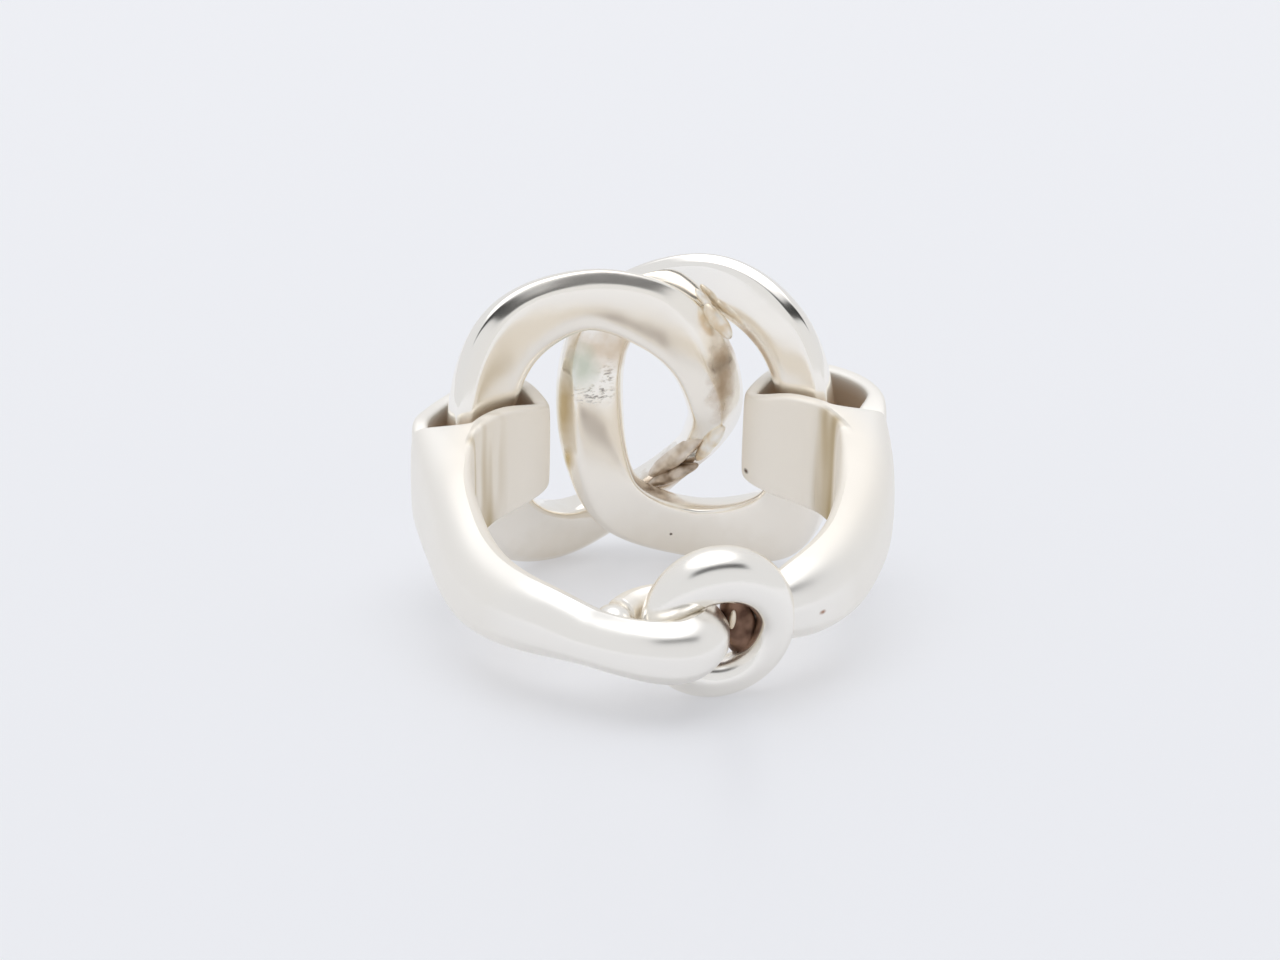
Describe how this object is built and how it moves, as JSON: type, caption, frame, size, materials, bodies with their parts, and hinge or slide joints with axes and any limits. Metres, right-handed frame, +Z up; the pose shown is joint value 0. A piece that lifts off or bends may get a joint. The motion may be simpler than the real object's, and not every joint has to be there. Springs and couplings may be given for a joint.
{
  "type": "horsebit ring",
  "caption": "Silver finger ring whose head is a pair of interlocked oval links, with folded straps and a hook and eye at the back, lying on its side.",
  "frame": {"origin": "middle of the ring's bounding box, on the table it lies on", "axes": "+Z up from the table, about along the finger hole; +Y from the knot at the back towards the links at the head; +X to the half with the eye"},
  "size_m": [0.0238, 0.0278, 0.0167],
  "materials": {
    "silver": "polished sterling silver"
  },
  "bodies": {
    "root": {"left_link": "silver", "right_link": "silver", "hook_shank": "silver", "eye_shank": "silver"}
  },
  "joints": []
}
